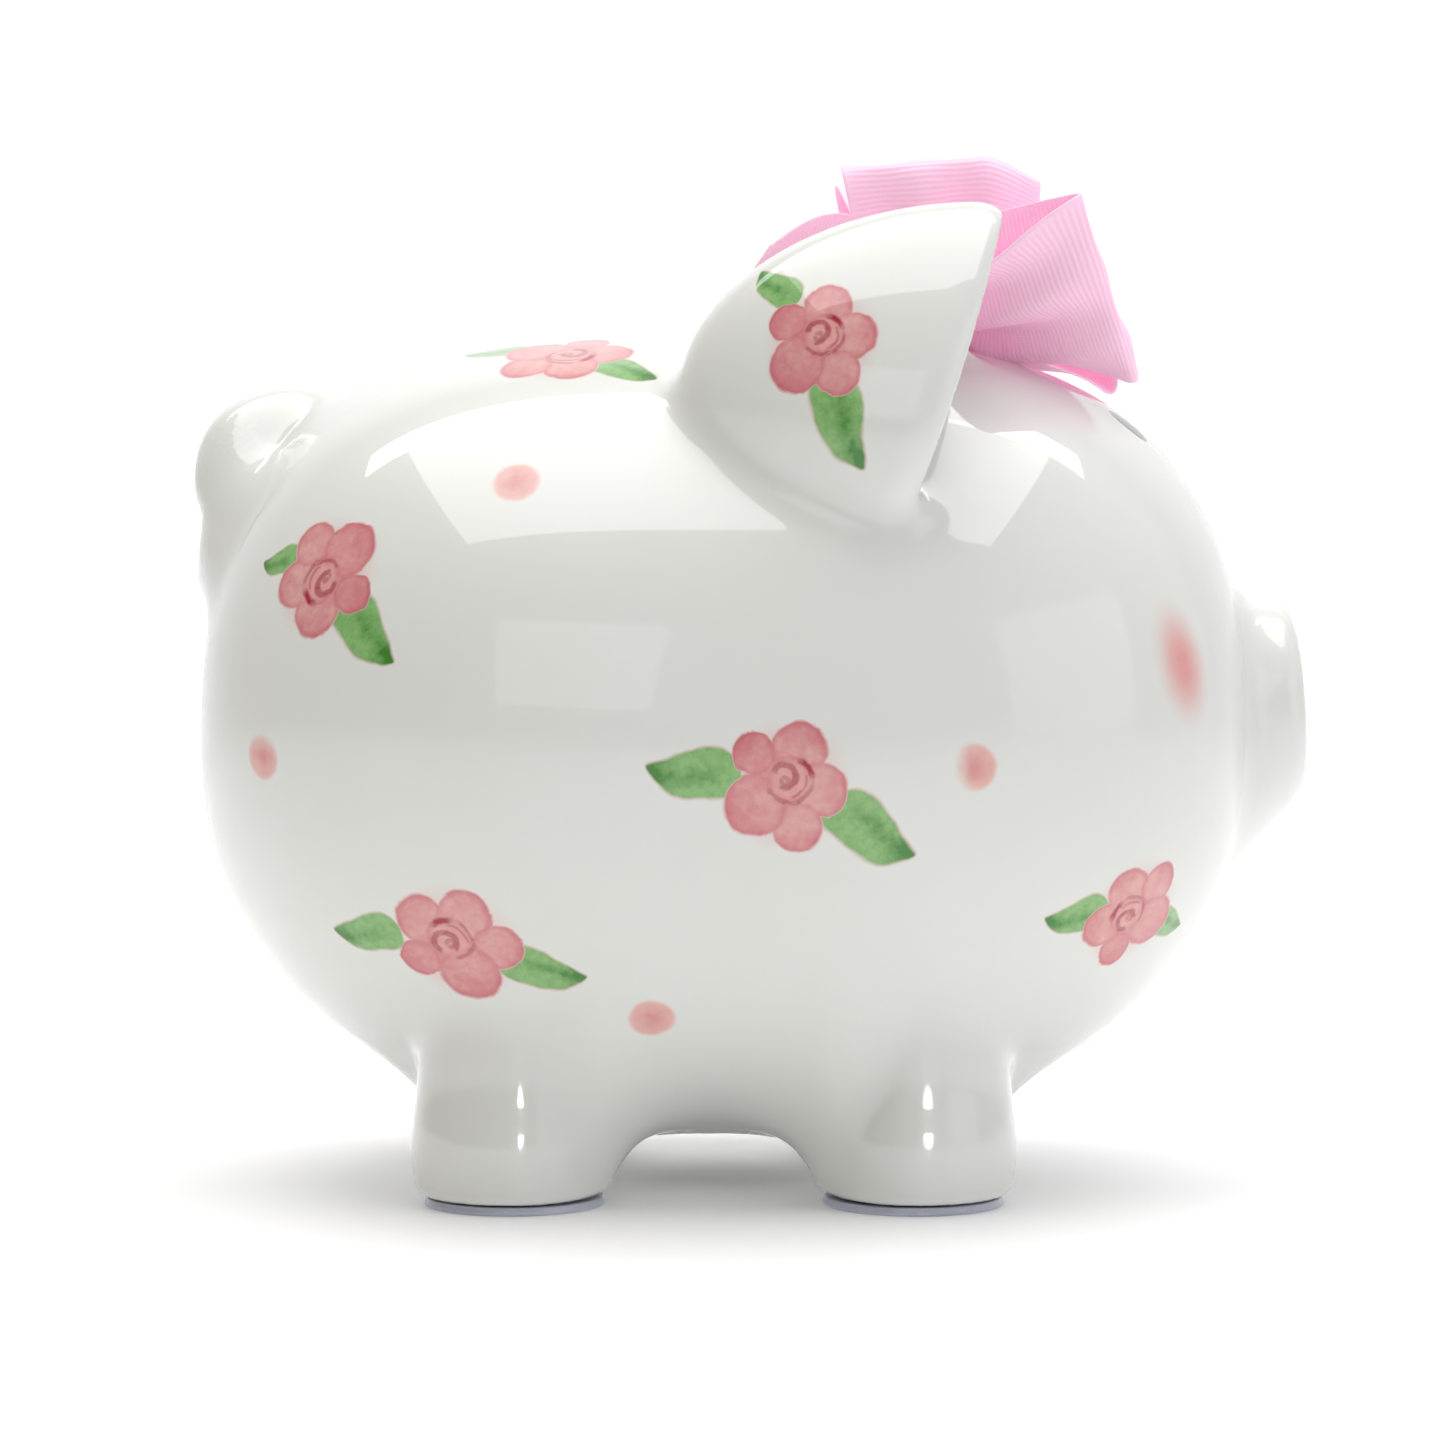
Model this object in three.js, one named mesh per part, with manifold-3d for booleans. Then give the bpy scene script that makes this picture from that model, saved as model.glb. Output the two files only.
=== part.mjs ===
// A large ceramic piggy bank with a grosgrain ribbon bow, in millimetres, +Z up.
// The snout points along +X and the pig's left side is +Y. The floor is z = 0 under its foot pads.
import * as THREE from "three";
import { mergeVertices } from "three/addons/utils/BufferGeometryUtils.js";
import Module from "manifold-3d";

const wasm = await Module();
wasm.setup();

// Gap left between touching pieces.
const GAP = 0.3;

// Body: a super-ellipsoid whose section is squarer towards the top.
const BODY = { x: -5.5, z: 86.8, halfLength: 101.2, halfWidth: 78, halfHeight: 78 };
const BODY_POWER = 2.55;
const BODY_POWER_RISE = 0.34;
const WALL = 5;

// Legs and foot pads.
const LEG = { x: 37.3, y: 37, centreX: -7.4, soleZ: 1.9, soleRadius: 17, kneeRadius: 19.4, topRadius: 18.8 };
const LEG_KNEE_Z = 12;
const LEG_TOP_Z = 34;
const LEG_EDGE = { height: 3.2, inset: 0.6 };
const LEG_HOLLOW = { widening: 1, rise: 6 };
const PAD = { radius: 17, thickness: 1.6 };

// Snout: a short drum that flares into the head.
const SNOUT = { frontX: 107.6, z: 92.4, radius: 20, edge: 3, bulge: 1.6, rootX: 86 };
const SNOUT_ROOT = { radius: 27, depth: 30 };
const SNOUT_THROAT = { length: 12, flare: 1.6 };
const SNOUT_LIP = { depth: 1, inset: 0.8 };
const SNOUT_HOLLOW_DEPTH = 20;

// Ears: hollow leaf-shaped cups that open forwards.
const EAR = { x: 41.8, y: 44, z: 150, halfLength: 55.8, halfWidth: 30, halfHeight: 36 };
const EAR_LEAN = 0.16;
const EAR_TAPER = 0.011;
const EAR_WALL = 5.5;
const EAR_FRONT = { x: 36.2, slope: 0.33 };

// Tail: stations along its line as x, y, z and radius. It comes out of the rump, goes over and curls in.
const TAIL = [
  [-70, 0, 144.6, 9.4],
  [-82, -0.5, 145, 9.4],
  [-91.2, -2, 145.2, 9.3],
  [-97.3, -4.5, 142.2, 9.2],
  [-99.3, -7.5, 136.4, 8.7],
  [-98.5, -10, 129.8, 7.6],
  [-99.4, -8.5, 122, 7.2],
  [-101, -1, 118.4, 7.1],
  [-99.4, 7.5, 121.5, 6.8],
  [-97.2, 10, 129, 6.4],
  [-96.6, 4.5, 134.5, 6],
];
const TAIL_FACETS = 16;

// Coin slot in the back, and the stopper in the belly.
const SLOT = { x: -20, length: 38, width: 4.6 };
const STOPPER = { x: -5.5, z: 10.7, holeRadius: 13, flangeRadius: 16, flange: 2.4, stem: 10, lead: 1.5 };
const STOPPER_SEAT = { radius: 16.5, bossRadius: 20, bossTop: 18.5 };

// Bow: one ribbon folded into four loops and two tails, bound by a narrow wrap.
const RIBBON = { width: 38, pinch: 8, thickness: 1 };
const RIBBON_SPREAD = 0.42;
const KNOT = { x: 37, z: 170.4, halfLength: 8.5, halfHeight: 5.6, halfWidth: 7 };
const KNOT_CLEARANCE = 4;
const GLUE = { radius: 7, depth: 12, share: 0.6 };
const LOOPS = {
  upper: {
    out: [-0.04, -0.62, 0.78],
    acrossKnot: [0.98, 0, 0.1],
    acrossEnd: [0.99, 0.05, 0.07],
    reach: 33,
    bulge: 4.5,
  },
  front: {
    out: [0.72, -0.69, 0.03],
    acrossKnot: [0.77, 0.77, -0.64],
    acrossEnd: [0.34, 0.12, -0.93],
    reach: 42,
    bulge: 4.5,
  },
};
const TAILS = { out: [-0.86, -0.5, 0.12], across: [0.15, -0.85, 0.5], reach: 40, arch: 5, drop: 2 };

const glaze = new THREE.MeshStandardMaterial({ color: 0xf1efe6, roughness: 0.12, metalness: 0 });
const rubber = new THREE.MeshStandardMaterial({ color: 0x2b2b2c, roughness: 0.7, metalness: 0 });
const padVinyl = new THREE.MeshStandardMaterial({ color: 0x8c96a6, roughness: 0.35, metalness: 0 });
const ribbonWeave = new THREE.MeshStandardMaterial({ color: 0xff9fcb, roughness: 0.75, metalness: 0 });
const glueMaterial = new THREE.MeshStandardMaterial({ color: 0xefe9d8, roughness: 0.4, metalness: 0 });

// A closed geometry as a solid.
function solidOf(geometry) {
  const plain = geometry.clone();
  plain.deleteAttribute("normal");
  plain.deleteAttribute("uv");
  const merged = mergeVertices(plain, 1e-4);
  return new wasm.Manifold(
    new wasm.Mesh({
      numProp: 3,
      vertProperties: merged.attributes.position.array,
      triVerts: new Uint32Array(merged.index.array),
    }),
  );
}

// A solid as a geometry with flat facets.
function geometryOf(solid) {
  const { vertProperties, triVerts, numProp } = solid.getMesh();
  const positions = [];
  for (let i = 0; i < vertProperties.length; i += numProp) positions.push(...vertProperties.slice(i, i + 3));
  const geometry = new THREE.BufferGeometry();
  geometry.setAttribute("position", new THREE.Float32BufferAttribute(positions, 3));
  geometry.setIndex(Array.from(triVerts));
  geometry.computeVertexNormals();
  return geometry;
}

const model = new THREE.Group();

function addPiece(name, geometry, material) {
  const mesh = new THREE.Mesh(geometry, material);
  mesh.name = name;
  model.add(mesh);
}

// Moves each vertex of a geometry with move(point), which changes the point in place.
function reshape(geometry, move) {
  const position = geometry.attributes.position;
  const point = new THREE.Vector3();
  for (let i = 0; i < position.count; i++) {
    point.fromBufferAttribute(position, i);
    move(point);
    position.setXYZ(i, point.x, point.y, point.z);
  }
  return geometry;
}

// The body's outside, moved outwards by grow.
function bodySolid(grow, around, along) {
  const [a, b, c] = [BODY.halfLength + grow, BODY.halfWidth + grow, BODY.halfHeight + grow];
  const sphere = new THREE.SphereGeometry(1, around, along).rotateZ(Math.PI / 2);
  reshape(sphere, (p) => {
    let radius = c;
    for (let pass = 0; pass < 6; pass++) {
      const power = BODY_POWER + (BODY_POWER_RISE * radius * p.z) / c;
      const section = Math.hypot(p.y / b, p.z / c);
      radius = 1 / (Math.abs(p.x / a) ** power + section ** power) ** (1 / power);
    }
    p.multiplyScalar(radius);
  });
  return solidOf(sphere.translate(BODY.x, 0, BODY.z));
}

// A solid of revolution about +Z from [radius, height] pairs that start and end on the axis, bottom first.
function turned(profile, segments) {
  const points = profile.map(([radius, height]) => new THREE.Vector2(radius, height));
  return new THREE.LatheGeometry(points, segments).rotateX(Math.PI / 2);
}

// An upright cylinder about the stopper's line, between two heights.
function upright(radius, bottom, top) {
  const cylinder = new THREE.CylinderGeometry(radius, radius, top - bottom, 32).rotateX(Math.PI / 2);
  return solidOf(cylinder.translate(STOPPER.x, 0, (bottom + top) / 2));
}

const feet = [
  ["rear_right", -1, -1],
  ["rear_left", -1, 1],
  ["front_right", 1, -1],
  ["front_left", 1, 1],
].map(([name, forward, left]) => ({ name, x: LEG.centreX + forward * LEG.x, y: left * LEG.y }));

// The body casting: shell, hollow legs and snout in one, with the coin slot and the stopper's hole.
function bodyCasting() {
  const legProfile = [
    [0, LEG.soleZ],
    [LEG.soleRadius, LEG.soleZ],
    [LEG.kneeRadius - LEG_EDGE.inset, LEG.soleZ + LEG_EDGE.height],
    [LEG.kneeRadius, LEG_KNEE_Z],
    [LEG.topRadius, LEG_TOP_Z],
    [0, LEG_TOP_Z],
  ];
  const legHollow = [
    [0, LEG.soleZ + WALL],
    [LEG.soleRadius - WALL + LEG_HOLLOW.widening, LEG.soleZ + WALL],
    [LEG.topRadius - WALL, LEG_KNEE_Z],
    [LEG.topRadius - WALL, LEG_TOP_Z + LEG_HOLLOW.rise],
    [0, LEG_TOP_Z + LEG_HOLLOW.rise],
  ];
  const snoutProfile = [
    [0, SNOUT.rootX - SNOUT_ROOT.depth],
    [SNOUT_ROOT.radius, SNOUT.rootX - SNOUT_ROOT.depth],
    [SNOUT_ROOT.radius, SNOUT.rootX],
    [SNOUT.radius + SNOUT_THROAT.flare, SNOUT.rootX + SNOUT_THROAT.length],
    [SNOUT.radius, SNOUT.frontX - SNOUT.bulge - SNOUT.edge],
    [SNOUT.radius - SNOUT_LIP.inset, SNOUT.frontX - SNOUT.bulge - SNOUT_LIP.depth],
    [SNOUT.radius - SNOUT.edge, SNOUT.frontX - SNOUT.bulge],
    [0, SNOUT.frontX],
  ];
  const snoutHollow = [
    [0, SNOUT.rootX - SNOUT_HOLLOW_DEPTH],
    [SNOUT.radius - WALL, SNOUT.rootX - SNOUT_HOLLOW_DEPTH],
    [SNOUT.radius - WALL, SNOUT.frontX - WALL - SNOUT.bulge],
    [0, SNOUT.frontX - WALL - SNOUT.bulge],
  ];
  const alongSnout = (profile) => solidOf(turned(profile, 32).rotateY(Math.PI / 2).translate(0, 0, SNOUT.z));
  let outside = bodySolid(0, 44, 30).add(alongSnout(snoutProfile));
  let inside = bodySolid(-WALL, 28, 20).add(alongSnout(snoutHollow));
  for (const { x, y } of feet) {
    outside = outside.add(solidOf(turned(legProfile, 24).translate(x, y, 0)));
    inside = inside.add(solidOf(turned(legHollow, 16).translate(x, y, 0)));
  }
  const slotHeight = 3 * WALL;
  const slotZ = BODY.z + BODY.halfHeight;
  const slot = new THREE.BoxGeometry(SLOT.length, SLOT.width, slotHeight).translate(SLOT.x, 0, slotZ);
  const belowBelly = LEG.soleZ;
  const boss = upright(STOPPER_SEAT.bossRadius, belowBelly, STOPPER_SEAT.bossTop).intersect(outside);
  const seat = upright(STOPPER_SEAT.radius, belowBelly, STOPPER.z + STOPPER.flange + GAP);
  const hole = upright(STOPPER.holeRadius, belowBelly, STOPPER_SEAT.bossTop + WALL);
  return outside.subtract(inside).add(boss).subtract(solidOf(slot)).subtract(seat).subtract(hole);
}
addPiece("body_casting", geometryOf(bodyCasting()), glaze);

// One ear: a tapered leaf-shaped cup, cut open at the front and fitted to the body. side is 1 for the left.
function earSolid(side) {
  const leaf = (shrink, around, along) =>
    solidOf(
      reshape(new THREE.SphereGeometry(1, around, along), (p) => {
        const height = p.z * (EAR.halfHeight - shrink);
        const width = (EAR.halfWidth - shrink) * (1 - EAR_TAPER * height);
        p.x = EAR.x + p.x * (EAR.halfLength - shrink);
        p.y = EAR.y + p.y * width + EAR_LEAN * height;
        p.z = EAR.z + height;
      }),
    );
  const reach = 200;
  const front = new THREE.BoxGeometry(reach, reach, reach)
    .translate(reach / 2, 0, 0)
    .rotateY(Math.atan(EAR_FRONT.slope))
    .translate(EAR_FRONT.x, EAR.y, EAR.z);
  const cup = leaf(0, 32, 22).subtract(leaf(EAR_WALL, 24, 16)).subtract(solidOf(front));
  const ear = cup.subtract(bodySolid(GAP, 44, 30));
  const largest = ear.decompose().sort((p, q) => q.volume() - p.volume())[0];
  return side > 0 ? largest : largest.mirror([0, 1, 0]);
}
addPiece("ear_left", geometryOf(earSolid(1)), glaze);
addPiece("ear_right", geometryOf(earSolid(-1)), glaze);

// The tail as tapering rods, two from each station to the next, along a smooth curve through them all.
function tailSolid() {
  const line = new THREE.CatmullRomCurve3(TAIL.map(([x, y, z]) => new THREE.Vector3(x, y, z)));
  const halves = 2 * (TAIL.length - 1);
  const balls = [];
  for (let i = 0; i <= halves; i++) {
    const centre = line.getPoint(i / halves);
    const radii = [TAIL[Math.floor(i / 2)][3], TAIL[Math.ceil(i / 2)][3]];
    const ball = wasm.Manifold.sphere((radii[0] + radii[1]) / 2, TAIL_FACETS);
    balls.push(ball.translate([centre.x, centre.y, centre.z]));
  }
  const rods = balls.slice(1).map((ball, i) => wasm.Manifold.hull([balls[i], ball]));
  return rods.reduce((tail, rod) => tail.add(rod));
}
addPiece("tail_curl", geometryOf(tailSolid().subtract(bodySolid(GAP, 44, 30))), glaze);

// The stopper: a soft plug with a flange against the belly and a led-in stem through its hole.
function stopper() {
  const seat = STOPPER.z + STOPPER.flange;
  const stemRadius = STOPPER.holeRadius - GAP;
  const profile = [
    [0, STOPPER.z],
    [STOPPER.flangeRadius - 1, STOPPER.z],
    [STOPPER.flangeRadius, STOPPER.z + STOPPER.flange / 2],
    [STOPPER.flangeRadius, seat],
    [stemRadius, seat],
    [stemRadius, seat + STOPPER.stem - STOPPER.lead],
    [stemRadius - STOPPER.lead, seat + STOPPER.stem],
    [0, seat + STOPPER.stem],
  ];
  return turned(profile, 32).translate(STOPPER.x, 0, 0);
}
addPiece("rubber_stopper", stopper(), rubber);

for (const { name, x, y } of feet) {
  const pad = new THREE.CylinderGeometry(PAD.radius, PAD.radius, PAD.thickness, 24).rotateX(Math.PI / 2);
  addPiece(`foot_pad_${name}`, pad.translate(x, y, PAD.thickness / 2), padVinyl);
}

const vector = (components) => new THREE.Vector3(...components);

// A closed strip of ribbon from stations that each give its centre, its width direction, its face's normal
// and its width.
function strip(stations) {
  const positions = [];
  const index = [];
  for (const { centre, across, normal, width } of stations) {
    const corners = [
      [-0.5, -0.5],
      [0.5, -0.5],
      [0.5, 0.5],
      [-0.5, 0.5],
    ];
    for (const [side, face] of corners) {
      const corner = centre
        .clone()
        .addScaledVector(across, side * width)
        .addScaledVector(normal, face * RIBBON.thickness);
      positions.push(corner.x, corner.y, corner.z);
    }
  }
  for (let i = 0; i + 1 < stations.length; i++) {
    for (let k = 0; k < 4; k++) {
      const [a, b] = [4 * i + k, 4 * i + ((k + 1) % 4)];
      index.push(a, b, b + 4, a, b + 4, a + 4);
    }
  }
  const last = 4 * (stations.length - 1);
  index.push(0, 2, 1, 0, 3, 2, last, last + 1, last + 2, last, last + 2, last + 3);
  const geometry = new THREE.BufferGeometry();
  geometry.setAttribute("position", new THREE.Float32BufferAttribute(positions, 3));
  geometry.setIndex(index);
  geometry.computeVertexNormals();
  return geometry;
}

const knotCentre = new THREE.Vector3(KNOT.x, 0, KNOT.z);

// One loop of the bow: out from the knot, round a bend and back, widening and turning on the way.
function loop({ out, acrossKnot, acrossEnd, reach, bulge }, side) {
  const outward = vector(out).normalize();
  const stations = [];
  const steps = 20;
  for (let i = 0; i <= steps; i++) {
    const turn = Math.PI * (i / steps - 0.5);
    const share = Math.cos(turn);
    const spread = Math.max(share, 0) ** RIBBON_SPREAD;
    const across = vector(acrossKnot).lerp(vector(acrossEnd), share);
    across.addScaledVector(outward, -across.dot(outward)).normalize();
    const lift = outward.clone().cross(across);
    const near = KNOT.halfLength + KNOT_CLEARANCE;
    const centre = knotCentre
      .clone()
      .addScaledVector(outward, near + (reach - near) * share)
      .addScaledVector(lift, -Math.sin(turn) * (1 + bulge * 1.6 * spread * (1 - 0.25 * share)));
    stations.push({ centre, across, width: RIBBON.pinch + (RIBBON.width - RIBBON.pinch) * spread });
  }
  stations.forEach((station, i) => {
    const before = stations[Math.max(i - 1, 0)].centre;
    const after = stations[Math.min(i + 1, steps)].centre;
    station.normal = after.clone().sub(before).cross(station.across).normalize();
  });
  const geometry = strip(stations);
  return side > 0 ? mirrored(geometry) : geometry;
}

// A geometry reflected to the other side of the y = 0 plane, with its faces turned back out.
function mirrored(geometry) {
  const copy = geometry.clone().scale(1, -1, 1);
  const index = copy.index.array;
  for (let i = 0; i < index.length; i += 3) [index[i + 1], index[i + 2]] = [index[i + 2], index[i + 1]];
  return copy;
}

// One tail of the bow, lifted a little as it leaves the knot.
function ribbonTail(side) {
  const outward = vector(TAILS.out).normalize();
  const across = vector(TAILS.across);
  across.addScaledVector(outward, -across.dot(outward)).normalize();
  const normal = outward.clone().cross(across);
  const stations = [];
  const steps = 8;
  for (let i = 0; i <= steps; i++) {
    const share = i / steps;
    const near = KNOT.halfLength + KNOT_CLEARANCE;
    const centre = knotCentre.clone().addScaledVector(outward, near + (TAILS.reach - near) * share);
    centre.z += TAILS.arch * Math.sin(Math.PI * share) - TAILS.drop * (1 - share);
    const width = RIBBON.pinch + (RIBBON.width - RIBBON.pinch) * Math.sin((Math.PI / 2) * share);
    stations.push({ centre, across, normal, width });
  }
  const geometry = strip(stations);
  return side > 0 ? mirrored(geometry) : geometry;
}

for (const [name, side] of Object.entries({ left: 1, right: -1 })) {
  addPiece(`bow_loop_upper_${name}`, loop(LOOPS.upper, side), ribbonWeave);
  addPiece(`bow_loop_front_${name}`, loop(LOOPS.front, side), ribbonWeave);
  addPiece(`bow_tail_${name}`, ribbonTail(side), ribbonWeave);
}

// The wrap that binds the bow's middle, a little larger by grow.
function knotShape(grow) {
  const sphere = new THREE.SphereGeometry(1, 20, 12);
  sphere.scale(KNOT.halfLength + grow, KNOT.halfWidth + grow, KNOT.halfHeight + grow);
  return sphere.translate(KNOT.x, 0, KNOT.z);
}
addPiece("bow_knot", knotShape(0), ribbonWeave);

// The drop of glue that holds the knot to the head.
const glueTop = KNOT.z - KNOT.halfHeight * GLUE.share;
const glueColumn = new THREE.CylinderGeometry(GLUE.radius, GLUE.radius, GLUE.depth, 20).rotateX(Math.PI / 2);
const glueDrop = solidOf(glueColumn.translate(KNOT.x, 0, glueTop - GLUE.depth / 2))
  .subtract(bodySolid(GAP, 44, 30))
  .subtract(solidOf(knotShape(GAP)));
addPiece("bow_glue", geometryOf(glueDrop), glueMaterial);

export default model;
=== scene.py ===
"""A hand-painted ceramic piggy bank with a grosgrain bow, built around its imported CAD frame.

Shapes are written in millimetres, in the CAD's frame: +X to the snout, +Y to the pig's left, +Z up.
The glazed ware is the zero surface of a distance field, meshed on a grid and then settled on to the field.
"""
import math

import bpy
import numpy as np
from mathutils import Matrix, Vector


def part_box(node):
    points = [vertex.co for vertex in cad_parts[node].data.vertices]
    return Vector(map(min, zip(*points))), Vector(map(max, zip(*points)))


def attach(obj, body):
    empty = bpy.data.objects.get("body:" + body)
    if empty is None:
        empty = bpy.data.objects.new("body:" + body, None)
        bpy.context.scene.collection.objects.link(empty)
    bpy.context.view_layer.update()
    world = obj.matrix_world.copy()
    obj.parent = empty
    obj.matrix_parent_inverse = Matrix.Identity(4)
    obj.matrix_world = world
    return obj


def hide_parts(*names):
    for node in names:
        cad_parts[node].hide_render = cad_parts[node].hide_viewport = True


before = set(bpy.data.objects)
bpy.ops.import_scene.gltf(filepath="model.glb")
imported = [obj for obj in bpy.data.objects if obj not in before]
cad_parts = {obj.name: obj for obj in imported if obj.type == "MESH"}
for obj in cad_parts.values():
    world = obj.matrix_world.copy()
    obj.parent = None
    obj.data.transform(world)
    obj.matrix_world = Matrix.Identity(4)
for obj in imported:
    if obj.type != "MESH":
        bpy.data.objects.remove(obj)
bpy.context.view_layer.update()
MM = 0.001

# ---------------------------------------------------------------- driving sizes, as in the CAD
# The body's length, width and height, and those of the ears, are half-sizes from the middle.
BODY = dict(x=-5.5, z=86.8, length=101.2, width=78.0, height=78.0, power=2.55, power_rise=0.34)
WALL = 5.0
LEG = dict(x=37.3, y=37.0, middle=-7.4, sole=1.9, radius=18.1, knee=1.4, knee_z=11.0, knee_reach=9.0,
           edge=2.4, top=60.0, slim=1.6, fillet=4.0, inner_fillet=22.0)
SNOUT = dict(x=105.6, z=92.4, radius=20.1, edge=2.9, bulge=1.5, lean=0.055, root=60.0, fillet=4.0)
# How the snout widens behind its face: by a slope, by a curve, under the chin, and at the most.
SNOUT_FLARE = dict(slope=0.12, curve=0.0085, chin=0.85, chin_power=1.5, limit=14.0)
NOSTRIL = dict(y=6.6, z=93.5, radii=(2.6, 2.5, 4.2), edge=1.6)
EAR = dict(x=41.8, y=44.0, z=150.0, length=55.8, width=30.0, height=36.0, lean=0.16, taper=0.011, wall=5.5,
           front=37.8, slope=0.33, hollow_edge=3.0, rim_edge=9.5, narrowest=0.3, fillet=6.0)
# The curve of an ear's cut front, its set-back, and what makes a distance of a height above its slope.
EAR_CUT = dict(curve=0.0011, back=0.7, scale=0.965)
# Stations of the tail's line, each with its radius: out of the rump, over and down, then a curl.
TAIL = ((-70.0, 0.0, 144.6, 9.4), (-82.0, -0.5, 145.0, 9.4), (-91.2, -2.0, 145.2, 9.3),
        (-97.3, -4.5, 142.2, 9.2), (-99.3, -7.5, 136.4, 8.7), (-98.5, -10.0, 129.8, 7.6),
        (-99.4, -8.5, 122.0, 7.2), (-101.0, -1.0, 118.4, 7.1), (-99.4, 7.5, 121.5, 6.8),
        (-97.2, 10.0, 129.0, 6.4), (-96.6, 4.5, 134.5, 6.0))
TAIL_FILLET = dict(crest=5.0, sides=14.0, reach=24.0)
TAIL_FRONT = -50.0
SLOT = dict(x=-20.0, length=38.0, width=4.6, floor=150.0, edge=2.0, corner=1.5)
STOPPER = dict(x=-5.5, hole=13.0, flange_radius=16.0, z=10.7, flange=2.4, stem=10.0)
# The casting round the stopper: a boss set in from the outside, a seat with a gap, and the hole's upper end.
BOSS = dict(radius=20.0, top=18.5, edge=1.5, fillet=2.0, set_in=0.5, seat_gap=0.5, hole_top=30.0)
CASTING_EDGE = 1.0
PAD_RADIUS = 17.0
FEET = {
    f"{end}_{side}": (LEG["middle"] + sx * LEG["x"], sy * LEG["y"])
    for end, sx in (("rear", -1), ("front", 1))
    for side, sy in (("right", -1), ("left", 1))
}


FAR = 1e3  # farther than anything on the pig


# ---------------------------------------------------------------- distance fields
def soft_min(a, b, k):
    """The lesser of two fields, with a fillet where they are within k of each other."""
    h = np.maximum(k - np.abs(a - b), 0) / k
    return np.minimum(a, b) - h * h * k / 4


def soft_max(a, b, k):
    return -soft_min(-a, -b, k)


def rounded_corner(a, b, edge):
    """The field of a corner between two faces at distances a and b."""
    a, b = a + edge, b + edge
    return np.minimum(np.maximum(a, b), 0) + np.hypot(np.maximum(a, 0), np.maximum(b, 0)) - edge


def ellipsoid(px, py, pz, rx, ry, rz):
    k0 = np.sqrt((px / rx) ** 2 + (py / ry) ** 2 + (pz / rz) ** 2)
    k1 = np.sqrt((px / rx**2) ** 2 + (py / ry**2) ** 2 + (pz / rz**2) ** 2)
    return k0 * (k0 - 1) / np.maximum(k1, 1e-6)


def body_field(x, y, z):
    """The round body: a super-ellipsoid whose section is squarer towards the top."""
    px, pz = x - BODY["x"], z - BODY["z"]
    power = BODY["power"] + BODY["power_rise"] * np.clip(pz / BODY["height"], -1, 1)
    section = np.sqrt((y / BODY["width"]) ** 2 + (pz / BODY["height"]) ** 2)
    scale = (np.abs(px / BODY["length"]) ** power + section**power) ** (1 / power)
    reach = np.sqrt(px * px + y * y + pz * pz)
    return reach - reach / np.maximum(scale, 1e-6)


def leg_field(x, y, z):
    """Four round legs, a little thicker at the knee and slimmer on their inner side."""
    inward = inner_side(x, y)
    across = np.hypot(np.abs(x - LEG["middle"]) - LEG["x"], np.abs(y) - LEG["y"])
    radius = LEG["radius"] + LEG["knee"] * np.exp(-(((z - LEG["knee_z"]) / LEG["knee_reach"]) ** 2))
    return np.maximum(across - radius + LEG["slim"] * inward, z - LEG["top"])


def inner_side(x, y):
    """1 on the side of a leg that faces the other legs, 0 on its outer side."""
    along = (LEG["x"] - np.abs(x - LEG["middle"])) / LEG["radius"]
    across = (LEG["y"] - np.abs(y)) / LEG["radius"]
    return eased(np.clip(np.maximum(along, across), 0, 1))


def snout_field(x, y, z):
    """A short drum with a gently domed face that flares into the head, most of all under the chin."""
    dz = z - SNOUT["z"]
    across = np.hypot(y, dz)
    dome = SNOUT["bulge"] * (1 - (across / SNOUT["radius"]) ** 2)
    face = x - (SNOUT["x"] - SNOUT["lean"] * dz + dome)
    back = np.maximum(SNOUT["x"] - x, 0)
    chin = np.clip(-dz / np.maximum(across, 1e-6), 0, 1)
    flare = SNOUT_FLARE["slope"] * back + SNOUT_FLARE["curve"] * back**2
    flare = flare + SNOUT_FLARE["chin"] * chin ** SNOUT_FLARE["chin_power"] * back
    radius = SNOUT["radius"] + np.minimum(flare, SNOUT_FLARE["limit"])
    drum = np.maximum(rounded_corner(across - radius, face, SNOUT["edge"]), SNOUT["root"] - x)
    from_face = x - SNOUT["x"] - SNOUT["bulge"]
    dimple = ellipsoid(from_face, np.abs(y) - NOSTRIL["y"], z - NOSTRIL["z"], *NOSTRIL["radii"])
    return soft_max(drum, -dimple, NOSTRIL["edge"])


def core_field(x, y, z):
    """Body, legs and snout in one. The fillet of a leg is wide on its inner side and tight outside."""
    fillet = LEG["fillet"] + (LEG["inner_fillet"] - LEG["fillet"]) * inner_side(x, y)
    body = soft_min(body_field(x, y, z), leg_field(x, y, z), fillet)
    body = rounded_corner(body, LEG["sole"] - z, LEG["edge"])
    return soft_min(body, snout_field(x, y, z), SNOUT["fillet"])


def ear_field(x, y, z):
    """Both ears: leaf-shaped cups, cut open at the front along a rounded rim."""
    px, pz = x - EAR["x"], z - EAR["z"]
    narrow = np.maximum(1 - EAR["taper"] * pz, EAR["narrowest"])
    py = (np.abs(y) - EAR["y"] - EAR["lean"] * pz) / narrow
    radii = (EAR["length"], EAR["width"], EAR["height"])
    outside = ellipsoid(px, py, pz, *radii)
    inside = ellipsoid(px, py, pz, *(r - EAR["wall"] for r in radii))
    cut = EAR["front"] - EAR["x"] + EAR["slope"] * pz
    front = (px - cut + EAR_CUT["curve"] * pz * pz - EAR_CUT["back"]) * EAR_CUT["scale"]
    return soft_max(soft_max(outside, -inside, EAR["hollow_edge"]), front, EAR["rim_edge"])


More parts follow.
